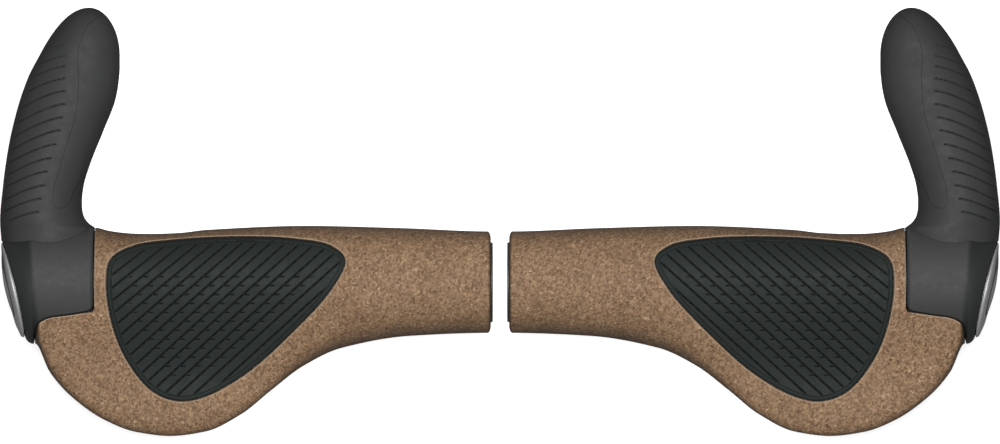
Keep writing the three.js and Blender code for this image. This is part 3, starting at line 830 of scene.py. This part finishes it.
PLUG_FLANGE_RADIUS = 10.9
PLUG_FLANGE_LENGTH = 1.2
PLUG_ROOM_X = 130.0  # inboard of the plug and ring
PLUG_PROUD = 2.7
PLUG_DOME_RADIUS = 43.0
PLUG_BLANK_RADIUS = 16.0  # the domed shape it is cut from
BADGE_RADIUS = 6.9  # the plug's silver middle, and the groove round it
BADGE_GROOVE_WIDTH = 0.7
BADGE_GROOVE_DEPTH = 0.25
BAND_X, BAND_SLANT = 139.4, 0.1  # where the collar's darker outer band starts, and how it leans
BAND_SOFT = 0.8
LUG_X, _, LUG_Z = (BOLT - AXIS) / MM
LUG_HALF_WIDTH = 5.0
LUG_HALF_LENGTH = 9.5
LUG_TOP = -12.0
SLIT = 1.6
SLIT_TOP = -8.0
SEAT_Y = WASHER_END_Y + GAP  # the washer's seat in the lug
BOLT_RADIUS = 2.5
BOLT_HOLE_RADIUS = 2.8
HEAD_RADIUS = 4.25
HEAD_LENGTH = 5.0
SOCKET_RADIUS = 2.3
SOCKET_DEPTH = 2.6
THREAD_START = 2.0  # below the head
THREAD_PITCH = 0.8
THREAD_DEPTH = 0.52
COUNTERBORE_RADIUS = 5.1
WASHER_RADIUS = 4.8
NUT_RADIUS = 4.62  # to its corners


def cap_frame():
    """The slanted end's outward direction, and two across it."""
    out = np.array([cos(CAP_SLANT) * cos(CAP_TILT), -sin(CAP_SLANT) * cos(CAP_TILT), sin(CAP_TILT)])
    side = np.cross(out, [0, 0, 1])
    side /= np.linalg.norm(side)
    return out, side, np.cross(side, out)


def turned_on_cap(name, profile, count=128):
    """A closed solid turned about the slanted end's direction from (height, radius) points."""
    out, side, up = cap_frame()
    c, s = circle(count)
    return loft(name, [CAP + h * out + r * (s[:, None] * side + c[:, None] * up) for h, r in profile])


def turned_on_bolt(name, profile, count=96):
    """A closed solid turned about the clamp bolt's axis from (y, radius) points."""
    c, s = circle(count)
    rings = [np.column_stack([LUG_X + r * s, np.full(count, y), LUG_Z + r * c]) for y, r in profile]
    return loft(name, rings)


def drill_on_bolt(target, radius, y0=-PAST_CORE, y1=PAST_CORE, count=64):
    """Cuts a hole along the clamp bolt's axis: round, or a hexagon with a count of 6."""
    combine(target, turned_on_bolt("drill", [(y0, radius), (y1, radius)], count))


def collar_outside(name, room=0.0, start=None):
    """The collar's outside, grown by room: round the handlebar, then drawn over to the slanted end.

    It starts with a small bevel, or straight from start.
    """
    count = 192
    c, s = circle(count)
    out, _, _ = cap_frame()

    def at(x, radius):
        return np.column_stack([np.full(count, x), (radius + room) * c, (radius + room) * s])

    if start is None:
        edge = [(COLLAR_X, COLLAR_EDGE_RADIUS - 0.5), (COLLAR_X + 0.08, COLLAR_EDGE_RADIUS - 0.2)]
    else:
        edge = [(start, COLLAR_EDGE_RADIUS)]
    rise = COLLAR_RADIUS - COLLAR_EDGE_RADIUS
    full = COLLAR_X + COLLAR_EDGE_LENGTH
    for t in np.linspace(0, 1, 7):
        radius = COLLAR_EDGE_RADIUS + rise * sin(t * pi / 2)
        edge.append((mix(COLLAR_X + 0.2, full, t), radius))
    rings = [at(x, radius) for x, radius in edge]
    rings += [at(x, COLLAR_RADIUS) for x in np.linspace(full + 0.5, COLLAR_STRAIGHT_END, 32)]
    heel = at(HEEL_X, COLLAR_RADIUS)
    heel[:, 1] *= 1 + HEEL_SWELL * np.clip(-c, 0, 1)
    rim = at(0, CAP_SEAT_RADIUS)
    rim[:, 0] = CAP[0] - (rim[:, 1] * out[1] + rim[:, 2] * out[2]) / out[0]
    rim[:, 1] += CAP[1]
    for share in np.linspace(0, RIM_SHARE, 26):
        ring = mix(heel, rim, share)
        rounding = RIM_ROUND * smoothstep(share, RIM_ROUND_START, RIM_SHARE)
        ring[:, 1:] *= 1 + COLLAR_BULGE * share * (1 - share) - rounding
        rings.append(ring)
    rings.append(rim * [1, RIM_CLOSE, RIM_CLOSE])
    return loft(name, rings)


def cork_line(points):
    """Distance of points on the collar's upper half from the line where the cork's edge meets it."""
    x, y, z = points.T
    line = [(POCKET_X, COLLAR_RADIUS)] + POCKET_EDGE
    outside = (z > 0) & (np.hypot(y, z) > COLLAR_EDGE_RADIUS - 1)
    return np.where(outside, line_distance(line, x, y), np.inf)


def make_bar_end():
    bar_end = collar_outside("bar_end")
    refine_near(bar_end, lambda p: cork_line(p) < COLLAR_REFINED)
    sink(bar_end, channel(cork_line(grip_points(bar_end)), CORK_LINE_WIDTH, CORK_LINE_DEPTH))
    lug = block("lug", (LUG_X - LUG_HALF_WIDTH, -LUG_HALF_LENGTH, LUG_Z),
                (LUG_X + LUG_HALF_WIDTH, LUG_HALF_LENGTH, LUG_TOP))
    lug_round = [(-LUG_HALF_LENGTH, LUG_HALF_WIDTH), (LUG_HALF_LENGTH, LUG_HALF_WIDTH)]
    combine(lug, turned_on_bolt("lug_round", lug_round), "UNION")
    combine(bar_end, lug, "UNION")
    combine(bar_end, loft("horn_core", horn_rings(SKIN + GAP, 1.2, 96)), "UNION")
    drill(bar_end, CORE_RADIUS + GAP, ROOM_X, BAR_STOP_X - GAP)
    drill(bar_end, PLUG_FLANGE_RADIUS + GAP, PLUG_ROOM_X)
    seat = RING_SPIGOT_RADIUS + GAP
    combine(bar_end, turned_on_cap("spigot_room", [(-RING_SPIGOT_LENGTH - GAP, seat), (PAST_SPIGOT, seat)]))
    combine(bar_end, block("slit", (ROOM_X, -SLIT / 2, -BEYOND), (BEYOND_X, SLIT / 2, SLIT_TOP)))
    drill_on_bolt(bar_end, BOLT_HOLE_RADIUS)
    drill_on_bolt(bar_end, COUNTERBORE_RADIUS, y1=SEAT_Y)
    drill_on_bolt(bar_end, NUT_RADIUS + GAP, y0=NUT_Y - GAP, count=6)
    finish_mesh(bar_end)
    points = grip_points(bar_end)
    # the gap attribute marks where shade is painted on the collar under the cork's edge
    set_attribute(bar_end, "gap", 1 - smoothstep(cork_line(points), 0.35, 0.6))
    from_band = points[:, 0] - BAND_SLANT * points[:, 1]
    set_attribute(bar_end, "darker_outer_band", smoothstep(from_band, BAND_X - BAND_SOFT, BAND_X + BAND_SOFT))
    both_sides(bar_end, "bar_end_core", "bar_end", composite_material())


def make_fasteners():
    steel = metal_material("steel", (0.50, 0.51, 0.52), 0.32, 2500)

    under_head = HEAD_Y + HEAD_LENGTH
    profile = [(HEAD_Y, 3.2), (HEAD_Y + 0.08, 3.75), (HEAD_Y + 0.3, 4.1), (HEAD_Y + 0.6, HEAD_RADIUS),
               (under_head - 0.15, HEAD_RADIUS), (under_head, HEAD_RADIUS - 0.15), (under_head, BOLT_RADIUS)]
    turns = int((BOLT_END_Y - 0.6 - under_head - THREAD_START) / THREAD_PITCH)
    for k in range(turns * 4 + 1):
        depth = (0, THREAD_DEPTH / 2, THREAD_DEPTH, THREAD_DEPTH / 2)[k % 4]
        profile.append((under_head + THREAD_START + k * (THREAD_PITCH / 4), BOLT_RADIUS - depth))
    profile += [(BOLT_END_Y - 0.4, BOLT_RADIUS - 0.1), (BOLT_END_Y, BOLT_RADIUS - 0.5)]
    bolt = turned_on_bolt("bolt", profile)
    drill_on_bolt(bolt, SOCKET_RADIUS, HEAD_Y - 5, HEAD_Y + SOCKET_DEPTH, 6)
    lead = [(HEAD_Y - 1, 2.9), (HEAD_Y + 0.3, 2.1), (HEAD_Y + 0.5, 1.9)]
    combine(bolt, turned_on_bolt("socket_lead", lead, 64))
    finish_mesh(bolt, 32)
    both_sides(bolt, "clamp_bolt", "bolt", steel)

    washer = turned_on_bolt("washer", bevelled(WASHER_Y, WASHER_END_Y, WASHER_RADIUS, 0.15, 0.2))
    drill_on_bolt(washer, BOLT_HOLE_RADIUS)
    finish_mesh(washer, 32)
    both_sides(washer, "clamp_washer", "washer", steel)

    nut = turned_on_bolt("nut", [(NUT_Y, NUT_RADIUS), (NUT_END_Y, NUT_RADIUS)], 6)
    combine(nut, turned_on_bolt("chamfer", bevelled(NUT_Y, NUT_END_Y, 4.7, 0.5, 0.7)), "INTERSECT")
    drill_on_bolt(nut, BOLT_HOLE_RADIUS)
    finish_mesh(nut, 28)
    both_sides(nut, "clamp_nut", "bar_end", steel)


def make_end_pieces():
    silver = metal_material("silver", (0.42, 0.42, 0.425), 0.5, 1800, 0.4)
    out, side, _ = cap_frame()

    spigot = [(-RING_SPIGOT_LENGTH, RING_SPIGOT_RADIUS), (GAP, RING_SPIGOT_RADIUS), (GAP, RING_RADIUS - 0.1)]
    ring = turned_on_cap("ring", spigot + RING_FACE, 192)
    points = grip_points(ring)
    from_seat = points - CAP
    forward = np.clip(from_seat @ side * np.sign(side[1]) / RING_RADIUS, 0, 1)
    thinner = RING_TAPER * forward**2 * np.clip(from_seat @ out - GAP, 0, None)
    set_grip_points(ring, points - thinner[:, None] * out)
    drill(ring, RING_HOLE_RADIUS, PLUG_ROOM_X, count=128)
    finish_mesh(ring, 30)
    both_sides(ring, "end_ring", "bar_end", silver)

    dome = []
    for radius in np.linspace(PLUG_BLANK_RADIUS, 0.2, 80):
        fall = PLUG_DOME_RADIUS - sqrt(PLUG_DOME_RADIUS**2 - radius**2)
        groove = channel(abs(radius - BADGE_RADIUS), BADGE_GROOVE_WIDTH, BADGE_GROOVE_DEPTH)
        dome.append((PLUG_PROUD - fall - groove, radius))
    blank = turned_on_cap("blank", [(-BEYOND, PLUG_BLANK_RADIUS)] + dome)
    plug = turned_on_x("plug", rod(BAR_STOP_X, BEYOND_X, PLUG_RADIUS), 128)
    combine(plug, blank, "INTERSECT")
    flange = rounded(rod(BAR_STOP_X, BAR_STOP_X + PLUG_FLANGE_LENGTH, PLUG_FLANGE_RADIUS), 0.2)
    combine(plug, turned_on_x("flange", flange, 128), "UNION")
    finish_mesh(plug, 30)
    from_cap = grip_points(plug) - CAP
    from_middle = np.linalg.norm(from_cap - np.outer(from_cap @ out, out), axis=1)
    set_attribute(plug, "dark_band", smoothstep(from_middle, BADGE_RADIUS - 0.3, BADGE_RADIUS))
    both_sides(plug, "end_plug", "bar_end", silver)


# ---- Materials ----

class Tree:
    """A node tree. What is fed to its nodes is a number, a colour or another node's output."""

    def __init__(self, tree):
        self.nodes, self.links = tree.nodes, tree.links

    def feed(self, socket, value):
        if hasattr(value, "links"):
            self.links.new(value, socket)
        else:
            socket.default_value = (*value, 1) if socket.type == "RGBA" else value

    def add(self, kind, inputs, **settings):
        """Adds a node and returns its outputs."""
        node = self.nodes.new("ShaderNode" + kind)
        for name, value in settings.items():
            setattr(node, name, value)
        for name, value in inputs.items():
            self.feed(node.inputs[name], value)
        return node.outputs

    def ramp(self, value, stops):
        node = self.nodes.new("ShaderNodeValToRGB")
        self.feed(node.inputs["Fac"], value)
        elements = node.color_ramp.elements
        while len(elements) < len(stops):
            elements.new(0.5)
        for element, (position, colour) in zip(elements, stops):
            element.position = position
            element.color = (*colour, 1)
        return node.outputs["Color"]

    def varied(self, value, colour, darkest, lightest):
        """The colour times a factor that follows the value."""
        dark, light = (tuple(factor * c for c in colour) for factor in (darkest, lightest))
        return self.ramp(value, [(0.3, dark), (0.7, light)])

    def blend(self, share, a, b, kind="MIX"):
        return self.add("Mix", {"Factor": share, "A": a, "B": b}, data_type="RGBA", blend_type=kind)["Result"]

    def maths(self, kind, a, b):
        return self.add("Math", {0: a, 1: b}, operation=kind)["Value"]

    def spread(self, value, low, high, out_low, out_high):
        return self.add("MapRange", {"Value": value, "From Min": low, "From Max": high,
                                     "To Min": out_low, "To Max": out_high})["Result"]

    def attribute(self, name):
        return self.add("Attribute", {}, attribute_name=name)["Fac"]

    def seen_directly(self):
        """1 where the camera looks at it itself, 0 for what it lights."""
        return self.add("LightPath", {})["Is Camera Ray"]

    def painted_limb_shade(self, colour, shade):
        """The colour with painted shade where the surface turns away from the eye, as on a lit round bar."""
        facing = self.add("LayerWeight", {"Blend": 0.5})["Facing"]
        shaded = self.blend(1.0, colour, (shade,) * 3, "MULTIPLY")
        return self.blend(self.spread(facing, 0.25, 0.85, 0, 1), colour, shaded)


class Shader(Tree):
    """A material, its surface's inputs and the object's own coordinates."""

    def __init__(self, name, roughness):
        self.material = bpy.data.materials.new(name)
        self.material.use_nodes = True
        super().__init__(self.material.node_tree)
        self.surface = self.nodes["Principled BSDF"].inputs
        self.where = self.add("TexCoord", {})["Object"]
        self.set("Roughness", roughness)

    def set(self, name, value):
        self.feed(self.surface[name], value)

    def noise(self, scale, detail, where=None):
        inputs = {"Vector": where or self.where, "Scale": scale, "Detail": detail, "Roughness": 0.55}
        return self.add("TexNoise", inputs)["Fac"]

    def granules(self, scale):
        """A grey value for each cell, and the distance from the cell's middle."""
        cells = self.add("TexVoronoi", {"Vector": self.where, "Scale": scale})
        return self.maths("MULTIPLY", cells["Color"], 1.0), cells["Distance"]

    def bump(self, height, distance, strength):
        inputs = {"Height": height, "Distance": distance, "Strength": strength}
        self.set("Normal", self.add("Bump", inputs)["Normal"])

    def roughen(self, value, least, most):
        """Lets the roughness follow the value."""
        self.set("Roughness", self.spread(value, 0.3, 0.7, least, most))


def cork_material():
    cork = Shader("cork compound", 0.8)
    fine, from_middle = cork.granules(1900)
    coarse, _ = cork.granules(1000)
    base = cork.ramp(fine, [
        (0.0, (0.085, 0.040, 0.015)), (0.15, (0.155, 0.085, 0.040)), (0.5, (0.245, 0.148, 0.080)),
        (0.85, (0.330, 0.212, 0.124)), (1.0, (0.475, 0.328, 0.213)),
    ])
    broad = cork.ramp(coarse, [
        (0.0, (0.46, 0.42, 0.38)), (0.16, (0.84, 0.82, 0.80)), (0.8, (1.05, 1.05, 1.05)),
        (1.0, (1.32, 1.36, 1.42)),
    ])
    cloud = cork.ramp(cork.noise(60, 3), [(0.3, (0.90, 0.88, 0.86)), (0.7, (1.06, 1.06, 1.06))])
    colour = cork.blend(1.0, base, broad, "MULTIPLY")
    colour = cork.blend(1.0, colour, cloud, "MULTIPLY")
    # painted highlight: lightens the cork along its edges where the rim attribute is set
    colour = cork.blend(cork.maths("MULTIPLY", cork.attribute("rim"), 0.65), colour, EDGE_HIGHLIGHT_COLOUR)
    # painted shade towards the cork's outlines, where its surface turns away from the eye
    cork.set("Base Color", cork.painted_limb_shade(colour, 0.47))
    cork.set("Roughness", cork.spread(coarse, 0, 1, 0.72, 0.9))
    cork.bump(cork.maths("ADD", from_middle, cork.noise(2600, 3)), 0.00012, 0.6)
    return cork.material


def rubber_material(name, colour, roughness, groove_shade):
    rubber = Shader(name, roughness)
    unshaded = rubber.varied(rubber.noise(90, 4), colour, 0.92, 1.07)
    # painted shade: the colour darkened by groove_shade where the groove attribute is set
    groove = tuple(groove_shade * c for c in colour)
    marked = rubber.blend(rubber.attribute("groove"), unshaded, groove)
    # painted shade towards the rubber's outlines, where its surface turns away from the eye
    rubber.set("Base Color", rubber.painted_limb_shade(marked, 0.42))
    rubber.roughen(rubber.noise(350, 5), roughness - 0.06, roughness + 0.08)
    rubber.set("Specular IOR Level", 0.3)
    rubber.bump(rubber.noise(2600, 4), 0.00004, 0.5)
    return rubber.material


def plastic(name, colour, roughness, grain):
    plain = Shader(name, roughness)
    texture = plain.varied(plain.noise(120, 4), colour, 0.94, 1.05)
    plain.set("Base Color", texture)
    plain.roughen(plain.noise(500, 5), roughness - 0.05, roughness + 0.07)
    plain.bump(plain.noise(grain, 3), 0.00005, 0.5)
    return plain, texture


def composite_material():
    composite, texture = plastic("composite", (0.044, 0.044, 0.044), 0.7, 1500)
    banded = composite.blend(composite.attribute("darker_outer_band"), texture, DARKER_BAND_COLOUR)
    # painted shade: darkens the collar along the cork's edge where the gap attribute is set
    composite.set("Base Color", composite.blend(composite.attribute("gap"), banded, PAINTED_GAP_SHADE))
    composite.set("Specular IOR Level", 0.4)
    return composite.material


def metal_material(name, colour, roughness, grain, metallic=1.0):
    metal = Shader(name, roughness)
    stretched = metal.add("Mapping", {"Vector": metal.where, "Scale": (1.0, 0.08, 1.0)})["Vector"]
    lines = metal.noise(grain, 4, stretched)
    brushed = metal.varied(lines, colour, 0.9, 1.06)
    band = metal.attribute("dark_band")
    metal.set("Base Color", metal.blend(band, brushed, PLUG_COLOUR))
    metal.set("Metallic", metal.spread(band, 0, 1, metallic, 0))
    metal.roughen(lines, roughness - 0.06, roughness + 0.1)
    metal.bump(lines, 0.00002, 0.3)
    return metal.material


# ---- The stage ----

FLOOR_HALF = 6.0  # metres
FLOOR_CLEARANCE = 0.0002
PICTURE_WIDTH = 0.3  # what the camera's picture spans at the handlebar's axis
LENS, SENSOR = 560.0, 36.0  # millimetres; so long a lens that the view is nearly parallel


def make_floor():
    """A floor that is white to the camera and throws less light back at the grips."""
    r, z = FLOOR_HALF, cad_box[0][2] - FLOOR_CLEARANCE
    mesh = bpy.data.meshes.new("floor")
    mesh.from_pydata([(-r, -r, z), (r, -r, z), (r, r, z), (-r, r, z)], [], [(0, 1, 2, 3)])
    pale = Shader("pale floor", 0.9)
    seen = pale.seen_directly()
    pale.set("Base Color", pale.blend(seen, (0.26, 0.26, 0.26), (0.95, 0.95, 0.95)))
    pale.set("Emission Color", (1, 1, 1))
    pale.set("Emission Strength", pale.maths("MULTIPLY", seen, 0.72))
    mesh.materials.append(pale.material)
    add_object("floor", mesh)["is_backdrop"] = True


def make_world():
    """Surroundings, bright to the camera, that light the grips faintly."""
    world = bpy.data.worlds.new("studio")
    world.use_nodes = True
    tree = Tree(world.node_tree)
    background = tree.nodes["Background"].inputs
    tree.feed(background["Color"], (1, 1, 1))
    tree.feed(background["Strength"], tree.spread(tree.seen_directly(), 0, 1, 0.15, 0.86))
    bpy.context.scene.world = world


def make_lamp():
    """A round overhead lamp aimed at the middle of the pair."""
    data = bpy.data.lights.new("overhead", "AREA")
    data.shape = "DISK"
    data.size = 0.5
    data.energy = 13.0
    lamp = add_object("overhead", data)
    lamp.location = (0.0, 0.12, 1.1)
    low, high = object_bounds()
    lamp.rotation_mode = "QUATERNION"
    lamp.rotation_quaternion = ((low + high) / 2 - lamp.location).to_track_quat("-Z", "Y")
    lamp.visible_camera = False


def make_camera():
    """The photo's view: straight down."""
    data = bpy.data.cameras.new("camera")
    data.lens = LENS
    data.sensor_width = SENSOR
    data.clip_end = 50
    camera = add_object("camera", data)
    camera.location = (0.0, (cad_box[0][1] + cad_box[1][1]) / 2, AXIS[2] + PICTURE_WIDTH / SENSOR * LENS)
    bpy.context.scene.camera = camera
    bpy.context.scene.view_settings.view_transform = "Standard"


make_cork()
make_pad()
make_core()
make_horn()
make_bar_end()
make_fasteners()
make_end_pieces()
make_floor()
make_world()
make_lamp()
make_camera()
